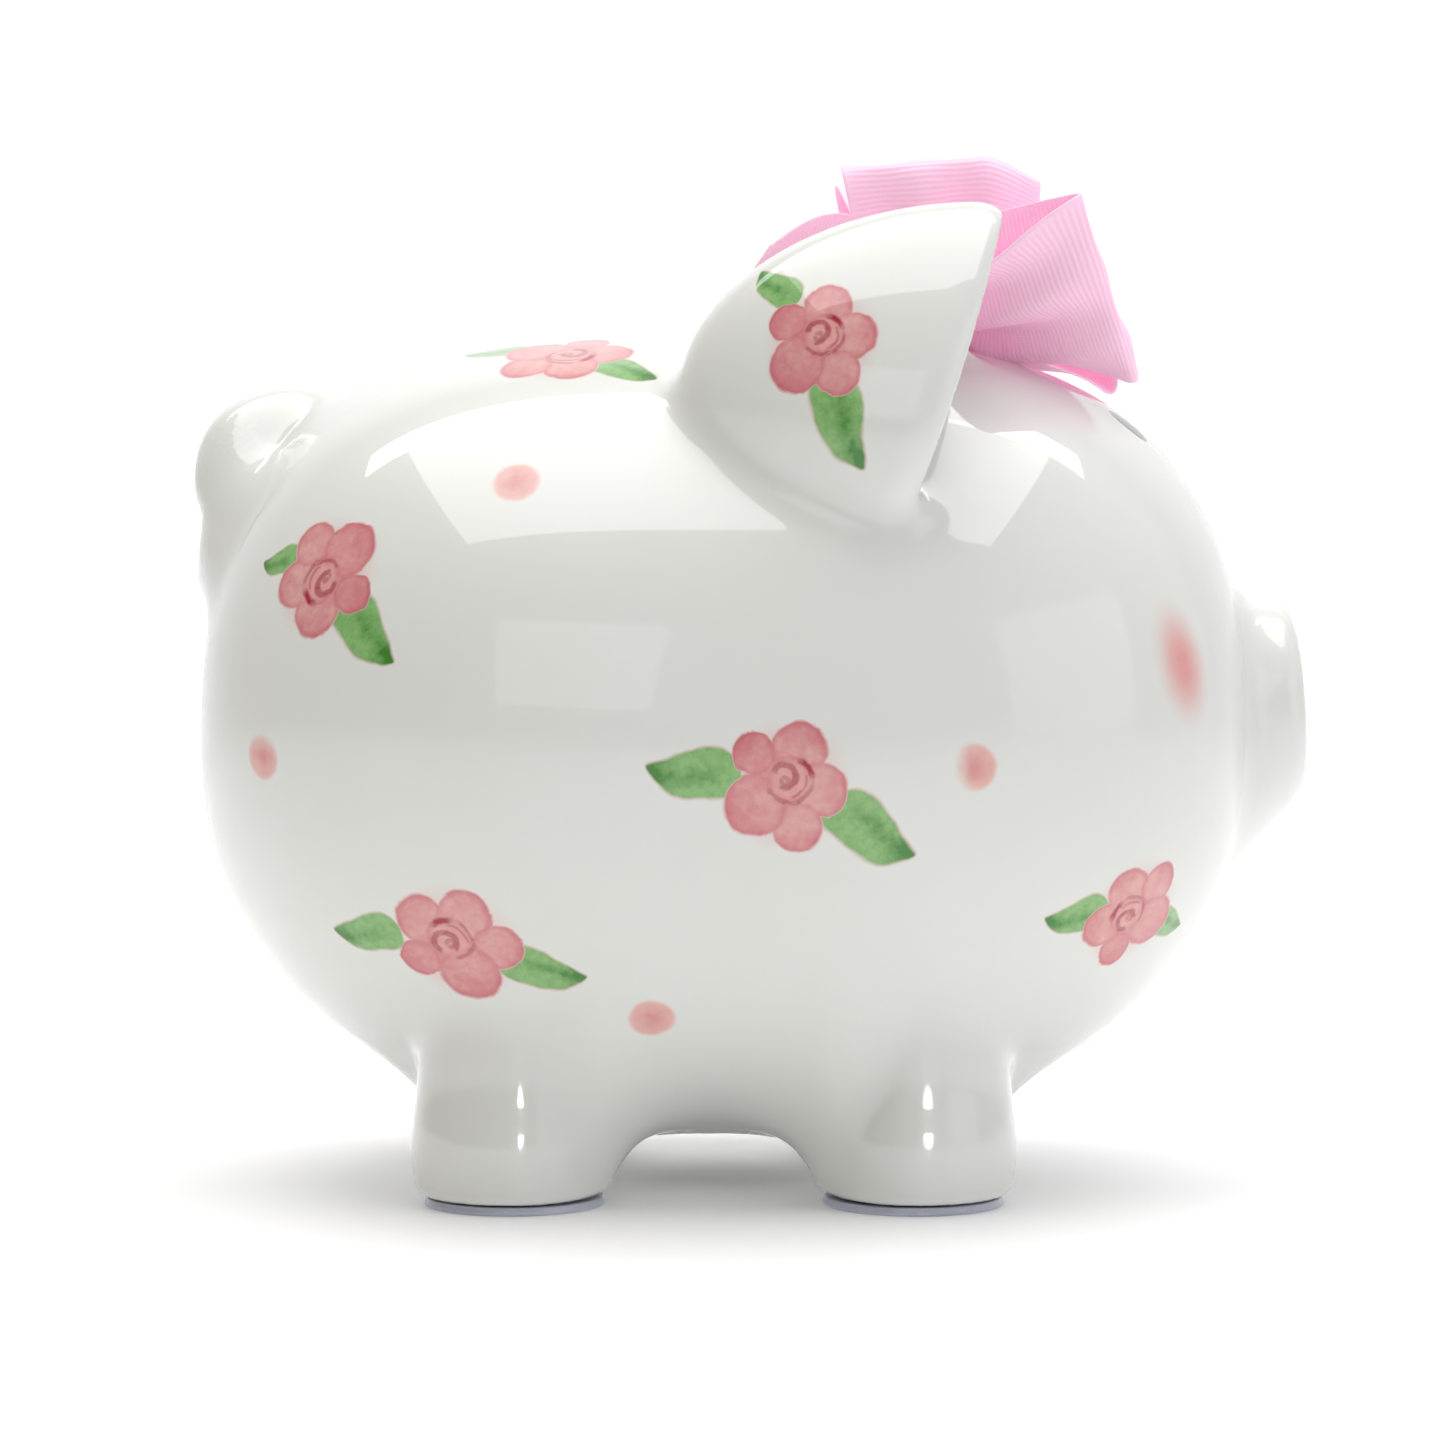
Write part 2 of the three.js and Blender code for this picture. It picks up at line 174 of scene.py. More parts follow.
def smooth_line(stations, steps=9):
    """A smooth curve through stations, with steps points from each to the next."""
    first, last = 2 * np.array(stations[0]) - stations[1], 2 * np.array(stations[-1]) - stations[-2]
    rows = np.array([first, *stations, last])
    curve = []
    for before, start, end, after in zip(rows, rows[1:], rows[2:], rows[3:]):
        square = 2 * before - 5 * start + 4 * end - after
        cube = 3 * start - before - 3 * end + after
        for t in np.arange(steps) / steps:
            curve.append(0.5 * (2 * start + (end - before) * t + square * t**2 + cube * t**3))
    return np.array([*curve, rows[-2]])


TAIL_LINE = smooth_line(TAIL)


def tail_field(x, y, z):
    """Tapering rods from point to point of the tail's line."""
    nearest = None
    for (*start, thick), (*end, thin) in zip(TAIL_LINE, TAIL_LINE[1:]):
        run = np.subtract(end, start)
        share = ((x - start[0]) * run[0] + (y - start[1]) * run[1] + (z - start[2]) * run[2]) / (run @ run)
        share = np.clip(share, 0, 1)
        away = np.sqrt((x - start[0] - run[0] * share) ** 2 + (y - start[1] - run[1] * share) ** 2
                       + (z - start[2] - run[2] * share) ** 2)
        rod = away - thick - (thin - thick) * share
        nearest = rod if nearest is None else np.minimum(nearest, rod)
    return nearest


def eased(share):
    """A share from 0 to 1 that starts and ends gently."""
    return share * share * (3 - 2 * share)


def tail_fillet(y):
    """The tail's fillet at a distance from the pig's middle: tight along the crest, wide down the sides."""
    share = np.clip(np.abs(y) / TAIL_FILLET["reach"], 0, 1)
    return TAIL_FILLET["crest"] + (TAIL_FILLET["sides"] - TAIL_FILLET["crest"]) * eased(share)


def skin_field(x, y, z):
    """The whole glazed outside, fillets included."""
    skin = soft_min(core_field(x, y, z), ear_field(x, y, z), EAR["fillet"])
    near_tail = x < TAIL_FRONT
    if not np.any(near_tail):
        return skin
    return soft_min(skin, np.where(near_tail, tail_field(x, y, z), FAR), tail_fillet(y))


def casting_field(x, y, z):
    """The hollow casting: a wall of even thickness, with the coin slot and a seat for the stopper."""
    outside = core_field(x, y, z)
    shell = soft_max(outside, -(outside + WALL), CASTING_EDGE)
    from_hole = np.hypot(x - STOPPER["x"], y)
    boss = rounded_corner(from_hole - BOSS["radius"], z - BOSS["top"], BOSS["edge"])
    shell = soft_min(shell, np.maximum(boss, outside + BOSS["set_in"]), BOSS["fillet"])
    along, across = np.abs(x - SLOT["x"]) - SLOT["length"] / 2, np.abs(y) - SLOT["width"] / 2
    slot = np.maximum(soft_max(along, across, SLOT["corner"]), SLOT["floor"] - z)
    seat_top = STOPPER["z"] + STOPPER["flange"]
    seat = np.maximum(from_hole - STOPPER["flange_radius"] - BOSS["seat_gap"], z - seat_top)
    hole = np.maximum(from_hole - STOPPER["hole"], z - BOSS["hole_top"])
    return soft_max(soft_max(shell, -slot, SLOT["edge"]), -np.minimum(seat, hole), CASTING_EDGE)


def luted(part, fillet, depth=1.6, sunk=0.01, margin=0.4):
    """The field of a part stuck on to the core. Its fillet, given as a function of the distance from the pig's
    middle, runs out on the core's surface. The part is closed depth below that surface."""

    def field(x, y, z):
        core = core_field(x, y, z)
        own = part(x, y, z)
        size = fillet(y)
        outside = soft_min(core + sunk, own, size)
        return np.maximum(np.maximum(outside, -(core + depth)), own - size - margin)

    return field


# ---------------------------------------------------------------- meshing a field
def grid_line(*stretches):
    """One axis of a grid from (from, to, step) stretches that follow on."""
    parts = [np.arange(round((hi - lo) / step)) * step + lo for lo, hi, step in stretches]
    return np.concatenate([*parts, [stretches[-1][1]]])


def surface_nets(field, axes):
    """Vertices and quads of a field's zero surface over a grid with its own spacing on each axis."""
    size = [len(a) for a in axes]
    values = np.broadcast_to(field(*np.meshgrid(*axes, indexing="ij", sparse=True)), size)
    inside = values < 0
    corners = np.array([(i, j, k) for i in (0, 1) for j in (0, 1) for k in (0, 1)])
    count = sum(inside[i : size[0] - 1 + i, j : size[1] - 1 + j, k : size[2] - 1 + k].astype(np.uint8)
                for i, j, k in corners)
    mixed = (count > 0) & (count < 8)
    number = np.full(mixed.shape, -1)
    number[mixed] = np.arange(mixed.sum())
    cell = np.argwhere(mixed)
    total, hits = np.zeros((len(cell), 3)), np.zeros(len(cell))
    for a in range(8):
        for b in range(a + 1, 8):
            if np.abs(corners[a] - corners[b]).sum() != 1:
                continue
            ia, ib = cell + corners[a], cell + corners[b]
            fa, fb = values[tuple(ia.T)], values[tuple(ib.T)]
            crossed = (fa < 0) != (fb < 0)
            share = np.where(crossed, fa / np.where(crossed, fa - fb, 1), 0)[:, None]
            pa = np.stack([axes[d][ia[:, d]] for d in range(3)], 1)
            pb = np.stack([axes[d][ib[:, d]] for d in range(3)], 1)
            total[crossed] += (pa + (pb - pa) * share)[crossed]
            hits[crossed] += 1
    quads = []
    for axis in range(3):
        u, w = (axis + 1) % 3, (axis + 2) % 3
        lower = np.take(inside, range(size[axis] - 1), axis)
        upper = np.take(inside, range(1, size[axis]), axis)
        edge = np.argwhere(lower != upper)
        at_u, at_w = edge[:, u], edge[:, w]
        edge = edge[(at_u > 0) & (at_w > 0) & (at_u < size[u] - 1) & (at_w < size[w] - 1)]
        du, dw = np.eye(3, dtype=int)[u], np.eye(3, dtype=int)[w]
        ring = np.stack([number[tuple((edge - s).T)] for s in (du + dw, dw, 0 * du, du)], 1)
        flip = ~lower[tuple(edge.T)]
        ring[flip] = ring[flip][:, ::-1]
        quads.append(ring)
    return total / hits[:, None], np.concatenate(quads)


def slope(field, points, step=0.04):
    """A field's gradient at points."""
    columns = []
    for axis in np.eye(3) * step:
        ahead, behind = points + axis, points - axis
        columns.append((field(*ahead.T) - field(*behind.T)) / (2 * step))
    return np.stack(columns, 1)


def unit(vectors):
    return vectors / np.maximum(np.linalg.norm(vectors, axis=-1, keepdims=True), 1e-9)


def settled(field, points, passes=2):
    """Points moved on to a field's zero surface."""
    for _ in range(passes):
        g = slope(field, points)
        points = points - g * (field(*points.T) / np.maximum((g * g).sum(1), 1e-2))[:, None]
    return points


def make_object(name, points, faces, normals=None):
    """A smooth-shaded mesh object from points in millimetres."""
    mesh = bpy.data.meshes.new(name)
    mesh.from_pydata((points * MM).tolist(), [], faces.tolist() if isinstance(faces, np.ndarray) else faces)
    mesh.polygons.foreach_set("use_smooth", [True] * len(mesh.polygons))
    if normals is not None:
        mesh.normals_split_custom_set_from_vertices(normals.tolist())
    made = bpy.data.objects.new(name, mesh)
    bpy.context.scene.collection.objects.link(made)
    return made


def add_attribute(piece, name, values):
    """A value or a vector on each vertex, for the materials."""
    values = np.asarray(values, np.float32)
    kind, key = ("FLOAT", "value") if values.ndim == 1 else ("FLOAT_VECTOR", "vector")
    piece.data.attributes.new(name, kind, "POINT").data.foreach_set(key, values.ravel())


def place(piece, body, slot, *nodes):
    """Puts a finished piece on its CAD body, in place of CAD nodes."""
    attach(piece, body)
    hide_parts(*nodes)
    return piece


# ---------------------------------------------------------------- the painted decoration
# The search for the skin: how far out it starts, its number of steps, and each step's share of the distance.
SEARCH = dict(start=160, steps=200, caution=0.6)


def on_skin(x, y, z, way):
    """The point of the skin on a line through (x, y, z) along way, found from outside."""
    point = np.array([x, y, z], float) + np.array(way, float) * SEARCH["start"]
    for _ in range(SEARCH["steps"]):
        step = skin_field(*(np.array([c]) for c in point))[0]
        point = point - np.array(way, float) * step * SEARCH["caution"]
    return point


class Motif:
    """One painted motif: its middle on the skin, the plane that it is painted in, its size and its leaves.
    A leaf is (root, tip), each across and up from the middle, in millimetres."""

    def __init__(self, kind, at, way, size, turn=0.0, leaves=()):
        self.kind, self.size, self.leaves = kind, size, leaves
        self.centre = on_skin(*at, unit(np.array(way, float)))
        self.normal = unit(slope(skin_field, self.centre[None]))[0]
        right = unit(np.cross((0, 0, 1.0), self.normal))
        up = np.cross(self.normal, right)
        c, s = math.cos(math.radians(turn)), math.sin(math.radians(turn))
        self.frame = (right, up)
        self.turned = (right * c + up * s, up * c - right * s)


def mirrored(motif_args):
    """The same motif on the pig's other side."""
    kind, (x, y, z), (wx, wy, wz), size, turn, leaves = motif_args
    flipped = tuple(tuple((-u, v) for u, v in leaf) for leaf in leaves)
    return kind, (x, -y, z), (wx, -wy, wz), size, -turn, flipped


ROSE, DOT, BLUSH, EYE = 1, 2, 3, 4
RIGHT = (0, -1, 0)
NEAR_SIDE = [
    (ROSE, (12, 0, 160), RIGHT, 10.2, 15, (((-6, 6.5), (-14.5, 15.5)), ((0, -7), (8.5, -23)))),
    (ROSE, (5.8, 0, 80.6), RIGHT, 10.9, 0, (((-8.3, 0.4), (-25.6, 3.5)), ((6.1, -3.8), (23.4, -13.1)))),
    (ROSE, (-54.4, 0, 51.3), RIGHT, 11.6, 70, (((-10, 0.6), (-25.7, 0)), ((7.5, -4.7), (24, -8.2)))),
    (ROSE, (-78.6, 0, 117.3), RIGHT, 11.0, 200, (((-7, 3.5), (-18, 4)), ((5, -5), (19, -15)))),
    (ROSE, (69.3, 0, 55.5), RIGHT, 10.4, 130, (((-6, 0.2), (-20, -1.4)), ((7, -2), (18.5, -5)))),
    (ROSE, (-35.2, -26.7, 150), (0, 0, 1), 12.0, 300, (((-9, 4), (-23, 9.5)), ((6, -4), (20, -9.5)))),
    (DOT, (-43.1, 0, 134.5), RIGHT, 4.5, 0, ()),
    (DOT, (-90, 0, 84.5), RIGHT, 4.5, 40, ()),
    (DOT, (38.9, 0, 83.5), RIGHT, 4.5, 80, ()),
    (DOT, (-18.6, 0, 37.2), RIGHT, 4.5, 120, ()),
    (BLUSH, (78.6, 0, 101.4), RIGHT, 6.4, 12, ()),
    (EYE, (68.5, -17, 140), (0.45, -0.15, 0.88), 4.6, 0, ()),
]


LEAF_REACH = 29.0  # from the middle of a rose to beyond its leaves' tips


def reach_of(kind, size):
    """How far from its middle a motif's paint runs."""
    return {ROSE: LEAF_REACH, DOT: 1.5 * size, BLUSH: 2.2 * size, EYE: 1.3 * size}[kind]


MOTIFS = [Motif(*m) for near in NEAR_SIDE for m in (near, mirrored(near))]
# Paint fades out over PAINT_FADE at the end of its reach, is kept off walls deeper than PAINT_DEPTH behind its
# motif, and only lies where the skin faces the way the motif does.
PAINT_FADE = 4.0
PAINT_DEPTH = 14.0
PAINT_FACING = (0.1, 0.3)
NO_PAINT = -9.0  # a place on a leaf that is off any leaf


def paint(piece, points, normals):
    """Gives each vertex its place on the nearest motif: across, up and kind, and its place on each leaf."""
    nearest, second = np.full(len(points), FAR), np.full(len(points), FAR)
    at, on = np.zeros((len(points), 3)), np.zeros(len(points))
    leaves = np.full((2, len(points), 3), NO_PAINT)
    for motif in MOTIFS:
        offset = points - motif.centre
        beyond = np.linalg.norm(offset, axis=1) - reach_of(motif.kind, motif.size)
        mine = beyond < nearest
        second = np.minimum(second, np.maximum(nearest, beyond))
        nearest = np.minimum(nearest, beyond)
        away = offset[mine]
        at[mine] = np.stack([away @ motif.turned[0] / motif.size, away @ motif.turned[1] / motif.size,
                             np.full(len(away), float(motif.kind))], 1)
        low, high = PAINT_FACING
        facing = np.clip((normals[mine] @ motif.normal - low) / (high - low), 0, 1)
        shallow = np.clip((PAINT_DEPTH - np.abs(away @ motif.normal)) / PAINT_FADE, 0, 1)
        on[mine] = facing * shallow * np.clip(1 - beyond[mine] / PAINT_FADE, 0, 1)
        for i in range(2):
            leaves[i][mine] = NO_PAINT
            if i >= len(motif.leaves):
                continue
            root, tip = (np.array(end, float) for end in motif.leaves[i])
            length = np.linalg.norm(tip - root)
            along, side = (tip - root) / length, np.array([root[1] - tip[1], tip[0] - root[0]]) / length
            flat = np.stack([away @ motif.frame[0], away @ motif.frame[1]], 1) - root
            spot = [flat @ along / length, flat @ side / length, np.full(len(away), length)]
            leaves[i][mine] = np.stack(spot, 1)
    add_attribute(piece, "paint_at", at)
    add_attribute(piece, "paint_on", on * np.clip((second - nearest - PAINT_FADE) / PAINT_FADE, 0, 1))
    add_attribute(piece, "leaf_first", leaves[0])
    add_attribute(piece, "leaf_second", leaves[1])


# ---------------------------------------------------------------- node arithmetic
def colour(red, green, blue):
    """A colour given on the 0 to 255 scale of a colour chart, as the linear values that shaders take."""
    parts = [c / 255 for c in (red, green, blue)]
    return (*(c / 12.92 if c <= 0.04045 else ((c + 0.055) / 1.055) ** 2.4 for c in parts), 1.0)


class Wire:
    """A socket of a material's tree that arithmetic can be done on."""

    def __init__(self, tree, socket):
        self.tree, self.socket = tree, socket

    def maths(self, operation, *others, clamp=False):
        node = self.tree.nodes.new("ShaderNodeMath")
        node.operation, node.use_clamp = operation, clamp
        for socket, value in zip(node.inputs, (self, *others)):
            feed(self.tree, socket, value)
        return Wire(self.tree, node.outputs[0])

    def clamped(self):
        """The value, kept between 0 and 1."""
        return self.maths("ADD", 0.0, clamp=True)

    def __add__(self, other):
        return self.maths("ADD", other)

    def __sub__(self, other):
        return self.maths("SUBTRACT", other)

    def __rsub__(self, other):
        return (self * -1.0).maths("ADD", other)

    def __mul__(self, other):
        return self.maths("MULTIPLY", other)

    def __truediv__(self, other):
        return self.maths("DIVIDE", other)

    def __pow__(self, other):
        return self.maths("POWER", other)

    __radd__, __rmul__ = __add__, __mul__

    def step(self, low, high):
        """0 below low, 1 above high and smooth between them; falling where low is the greater."""
        node = self.tree.nodes.new("ShaderNodeMapRange")
        node.interpolation_type = "SMOOTHSTEP"
        rising = low < high
        feed(self.tree, node.inputs["Value"], self)
        node.inputs["From Min"].default_value = min(low, high)
        node.inputs["From Max"].default_value = max(low, high)
        node.inputs["To Min"].default_value = 0.0 if rising else 1.0
        node.inputs["To Max"].default_value = 1.0 if rising else 0.0
        return Wire(self.tree, node.outputs[0])


def feed(tree, socket, value):
    """Links a wire to a socket, or sets a constant on it."""
    if isinstance(value, Wire):
        tree.links.new(value.socket, socket)
    else:
        socket.default_value = value


class Material:
    """A node material with its Principled shader, and short calls for the nodes used here."""

    def __init__(self, name, **constants):
        self.made = bpy.data.materials.new(name)
        self.made.use_nodes = True
        self.tree = self.made.node_tree
        self.shader = self.tree.nodes["Principled BSDF"]
        for key, value in constants.items():
            self.shader.inputs[key.replace("_", " ")].default_value = value

    def wire(self, node, output):
        return Wire(self.tree, node.outputs[output])

    def position(self):
        return self.wire(self.tree.nodes.new("ShaderNodeTexCoord"), "Object")

    def attribute(self, name, output="Vector"):
        node = self.tree.nodes.new("ShaderNodeAttribute")
        node.attribute_name = name
        return self.wire(node, output)

    def split(self, vector):
        node = self.tree.nodes.new("ShaderNodeSeparateXYZ")
        feed(self.tree, node.inputs[0], vector)
        return tuple(self.wire(node, i) for i in range(3))

    def join(self, x, y, z):
        node = self.tree.nodes.new("ShaderNodeCombineXYZ")
        for socket, value in zip(node.inputs, (x, y, z)):
            feed(self.tree, socket, value)
        return self.wire(node, 0)

    def noise(self, vector, scale, detail=2.0, roughness=0.5, distortion=0.0):
        node = self.tree.nodes.new("ShaderNodeTexNoise")
        feed(self.tree, node.inputs["Vector"], vector)
        node.inputs["Scale"].default_value = scale
        node.inputs["Detail"].default_value = detail
        node.inputs["Roughness"].default_value = roughness
        node.inputs["Distortion"].default_value = distortion
        return self.wire(node, "Fac")

    def mix(self, share, first, second):
        """first where share is 0 and second where it is 1."""
        node = self.tree.nodes.new("ShaderNodeMix")
        node.data_type = "RGBA"
        feed(self.tree, node.inputs["Factor"], share)
        feed(self.tree, node.inputs[6], first)
        feed(self.tree, node.inputs[7], second)
        return self.wire(node, 2)

    def set(self, socket, value):
        feed(self.tree, self.shader.inputs[socket], value)

    def bump(self, height, distance, strength=1.0):
        node = self.tree.nodes.new("ShaderNodeBump")
        node.inputs["Strength"].default_value = strength
        node.inputs["Distance"].default_value = distance
        feed(self.tree, node.inputs["Height"], height)
        self.set("Normal", self.wire(node, 0))

    def onto(self, *pieces):
        for piece in pieces:
            piece.data.materials.clear()
            piece.data.materials.append(self.made)


# ---------------------------------------------------------------- the glaze and its underglaze painting
# A rose is painted as five round dabs over a sixth, back to front, with a bud over them.
# A dab is (across, up, radius, depth of colour).
PETALS = ((-0.14, 0.1, 0.46, 0.4), (-0.56, 0.5, 0.36, 0.55), (0.19, 0.56, 0.46, 0.35),
          (0.54, -0.09, 0.46, 0.3),
          (0.15, -0.71, 0.42, 0.35), (-0.52, -0.34, 0.52, 0.45))
BUD = (0.04, 0.07, 0.38)
# Brush strokes of the bud, each part of a ring: (across, up, radius, width, middle, half-span, strength), with
# its middle and half-span in degrees.
STROKES = ((-0.06, 0.14, 0.18, 0.42, 25, 140, 0.85), (0.04, 0.07, 0.35, 0.24, 38, 30, 1.0),
           (0.04, 0.07, 0.37, 0.14, -85, 70, 0.55), (-0.06, 0.04, 0.06, 1.0, -40, 180, 0.6),
           (0.02, 0.06, 0.27, 0.14, -30, 50, 0.5))
GLAZE_WHITE = colour(232, 233, 229)
PETAL_PALE = colour(229, 160, 155)
PETAL_DEEP = colour(203, 104, 118)
BUD_DEEP = colour(170, 30, 62)
LEAF_PALE = colour(126, 184, 96)
LEAF_DEEP = colour(62, 132, 46)
DOT_PALE = colour(238, 182, 174)
DOT_DEEP = colour(220, 132, 128)
BLUSH_PINK = colour(230, 140, 138)
EYE_BLACK = colour(18, 15, 15)


def glaze_material():
    m = Material("glaze", IOR=1.5, Specular_IOR_Level=0.2, Coat_Weight=1.0, Coat_Roughness=0.035, Coat_IOR=1.5)
    here = m.position()
    u, v, kind = m.split(m.attribute("paint_at"))
    on = m.attribute("paint_on", "Fac")
    wobble = m.noise(here, 170.0, 2.0) - 0.5
    wobble_up = m.noise(m.join(wobble * 3.0, u, v), 2.3, 2.0) - 0.5
    wash = m.noise(here, 420.0, 4.0, 0.62)
    streak = m.noise(m.join(u * 3.0, v * 3.0, wobble * 2.0), 2.2, 3.0, 0.6)
    u, v = u + wobble * 0.16, v + wobble_up * 0.12

    def from_spot(x, y, radius):
        du, dv = u - x, v - y
        return (du * du + dv * dv).maths("SQRT") / radius, du, dv

    def is_kind(number):
        return (kind - float(number)).maths("ABSOLUTE").maths("LESS_THAN", 0.5) * on

    paint_colour, cover = PETAL_PALE, 0.0
    halo, _, _ = from_spot(-0.02, -0.05, 1.12)
    cover = halo.step(1.05, 0.6) * 0.34
    for x, y, radius, depth in PETALS:
        away, du, dv = from_spot(x, y, radius)
        mask = away.step(1.1, 0.93)
        outward = (du * x + dv * y) / (radius * math.hypot(x, y))
        rim = away.step(0.72, 1.0) * 0.34 + outward.step(-0.3, 1.1) * 0.3
        rim = rim + wash * 0.7 + streak * 0.5 - 0.7 + depth
        petal = m.mix(rim.clamped(), PETAL_PALE, PETAL_DEEP)
        paint_colour = m.mix(mask, paint_colour, petal)
        cover = cover.maths("MAXIMUM", mask * (rim * 0.3 + 0.8).maths("MINIMUM", 0.97))
    away, du, dv = from_spot(*BUD)
    bud_mask = away.step(1.12, 0.95)
    bud_rim = away.step(0.6, 1.0) * 0.5 + wash * 0.4 - 0.05
    bud = m.mix(bud_rim.clamped(), PETAL_PALE, PETAL_DEEP)
    paint_colour = m.mix(bud_mask, paint_colour, bud)
    dark = 0.0
    for x, y, radius, width, towards, spread, strength in STROKES:
        ring, ring_u, ring_v = from_spot(x, y, radius)
        angle = math.radians(towards)
        heading = (ring_u * math.cos(angle) + ring_v * math.sin(angle)) / (ring * radius)
        line = (ring - 1.0).maths("ABSOLUTE").step(width, width * 0.35)
        limit = math.cos(math.radians(spread))
        stroke = line * heading.step(limit - 0.12, limit + 0.12) * strength
        dark = stroke.maths("MAXIMUM", dark)
    paint_colour = m.mix(dark * (wash * 0.6 + 0.7).maths("MINIMUM", 1.0), paint_colour, BUD_DEEP)
    cover = cover.maths("MAXIMUM", bud_mask * 0.85).maths("MAXIMUM", dark)

    def leaf(name, bend):
        along, across, _ = m.split(m.attribute(name))
        across = across + (along * 2 * math.pi).maths("SINE") * bend + wobble * 0.1
        held = along.maths("MAXIMUM", 0.0).maths("MINIMUM", 1.0)
        width = (held**0.42) * ((1.0 - held) ** 0.8) * 0.62
        off = across.maths("ABSOLUTE") - width
        mask = off.step(0.02, -0.045) * along.step(-0.02, 0.03) * along.step(1.0, 0.96)
        stroke = (across - 0.04).maths("ABSOLUTE").step(0.14, 0.0) * along.step(0.1, 0.45) * 0.55
        tip = along.step(0.62, 1.0) * 0.7
        edge = off.step(-0.06, -0.005) * 0.25
        return mask, (stroke + tip + edge + streak * 1.3 - 0.55).clamped()

    leaf_cover = None
    for name, bend in (("leaf_first", 0.05), ("leaf_second", -0.045)):
        mask, depth = leaf(name, bend)
        green = m.mix(depth, LEAF_PALE, LEAF_DEEP)
        free = mask * (1.0 - cover.step(0.45, 0.75))
        paint_colour = m.mix(free, paint_colour, green)
        cover = cover.maths("MAXIMUM", free * (depth * 0.1 + 0.9))

    body = m.mix(m.noise(here, 26.0, 3.0, 0.55) * 0.5, GLAZE_WHITE, colour(227, 226, 219))
    glaze = m.mix(cover * is_kind(ROSE), body, paint_colour)

    spot = (u * u + v * v).maths("SQRT")
    dot = m.mix((spot * -1.0 + 1.1 + wash * 0.5 - 0.25).clamped(), DOT_PALE, DOT_DEEP)
    glaze = m.mix(spot.step(1.08, 0.8) * (wash * 0.25 + 0.72) * is_kind(DOT), glaze, dot)
    tall = (u * u * 1.7 + v * v * 0.7).maths("SQRT")
    glaze = m.mix(tall.step(1.8, 0.15) * (wash * 0.2 + 0.72) * is_kind(BLUSH), glaze, BLUSH_PINK)
    oval = (u * u * 1.5 + v * v * 0.85).maths("SQRT")
    glaze = m.mix(oval.step(1.0, 0.88) * is_kind(EYE), glaze, EYE_BLACK)
    m.set("Base Color", glaze)
    m.set("Roughness", m.noise(here, 60.0, 3.0) * 0.12 + 0.26)
    height = m.noise(here, 24.0, 2.0, 0.4) * 0.8 + m.noise(here, 110.0, 2.0, 0.5) * 0.2
    m.bump(height, 0.0012, 0.1)
    return m


GLAZE = glaze_material()
ON_SKIN = 0.06  # a point this near the skin is on it


def glazed(name, field, axes, *nodes):
    """A piece of the glazed ware. Where it shows, its shading follows the whole skin and hides the seams."""
    points, quads = surface_nets(field, axes)
    points = settled(field, points)
    outside = np.abs(skin_field(*points.T)) < ON_SKIN
    normals = slope(field, points)
    normals[outside] = slope(skin_field, points[outside])
    normals = unit(normals)
    piece = make_object(name, points, quads, normals)
    paint(piece, points, normals)
    GLAZE.onto(piece)
    return place(piece, "root", "glaze", *nodes)


# Grid steps. The grid is finest in a band about each end of the slot.
COARSE, FINE, FINEST = 1.8, 0.9, 0.5
BAND = 4.0
slot_rear, slot_front = SLOT["x"] - SLOT["length"] / 2, SLOT["x"] + SLOT["length"] / 2
glazed(
    "glazed_body",
    casting_field,
    (
        grid_line((-112, slot_rear - BAND, COARSE), (slot_rear - BAND, slot_rear + BAND, FINEST),
                  (slot_rear + BAND, slot_front - BAND, COARSE), (slot_front - BAND, slot_front + BAND, FINEST),
                  (slot_front + BAND, 98, COARSE), (98, 111, FINE)),
        grid_line((-82, -5, COARSE), (-5, 5, FINEST), (5, 82, COARSE)),
        grid_line((0, 9, FINE), (9, 154, COARSE), (154, 168, FINE)),
    ),
    "body_casting",
)
for side, sign in (("left", 1), ("right", -1)):
    ys = grid_line((10, 92, FINE))
    glazed(f"glazed_ear_{side}", luted(ear_field, lambda y: EAR["fillet"]),
           (grid_line((-22, 66, FINE)), ys if sign > 0 else -ys[::-1], grid_line((104, 208, FINE))), f"ear_{side}")
glazed("glazed_tail", luted(tail_field, tail_fillet),
       (grid_line((-122, -56, FINE)), grid_line((-30, 30, FINE)), grid_line((100, 170, FINE))), "tail_curl")


# ---------------------------------------------------------------- turned pieces: stopper and foot pads
def turned(name, profile, centre, steps=96):
    """A closed piece turned about a vertical line from an outline of (radius, height) pairs, bottom to top."""
    ring = np.linspace(0, 2 * np.pi, steps, endpoint=False)
    points = [[0, 0, profile[0][1]]]
    for radius, height in profile:
        points += [[radius * math.cos(a), radius * math.sin(a), height] for a in ring]
    points.append([0, 0, profile[-1][1]])
    faces = []
    for i in range(steps):
        j = (i + 1) % steps
        faces.append((0, 1 + j, 1 + i))
        last_ring = 1 + (len(profile) - 1) * steps
        faces.append((len(points) - 1, last_ring + i, last_ring + j))
        for row in range(len(profile) - 1):
            low, high = 1 + row * steps, 1 + (row + 1) * steps
            faces.append((low + i, low + j, high + j, high + i))
    return make_object(name, np.array(points, float) + np.array(centre), faces)


def rounded_outline(corners, edge, steps=6):
    """An outline whose corners, between the first and the last point, are rounded to the edge radius."""
    corners = [np.array(c, float) for c in corners]
    outline = [corners[0]]
    for before, here, after in zip(corners, corners[1:], corners[2:]):
        back, ahead = before - here, after - here
        cut = min(edge, 0.45 * np.linalg.norm(back), 0.45 * np.linalg.norm(ahead))
        start, end = here + unit(back) * cut, here + unit(ahead) * cut
        for share in np.linspace(0, 1, steps):
            outline.append((1 - share) ** 2 * start + 2 * share * (1 - share) * here + share**2 * end)
    outline.append(corners[-1])
    return [tuple(p) for p in outline]


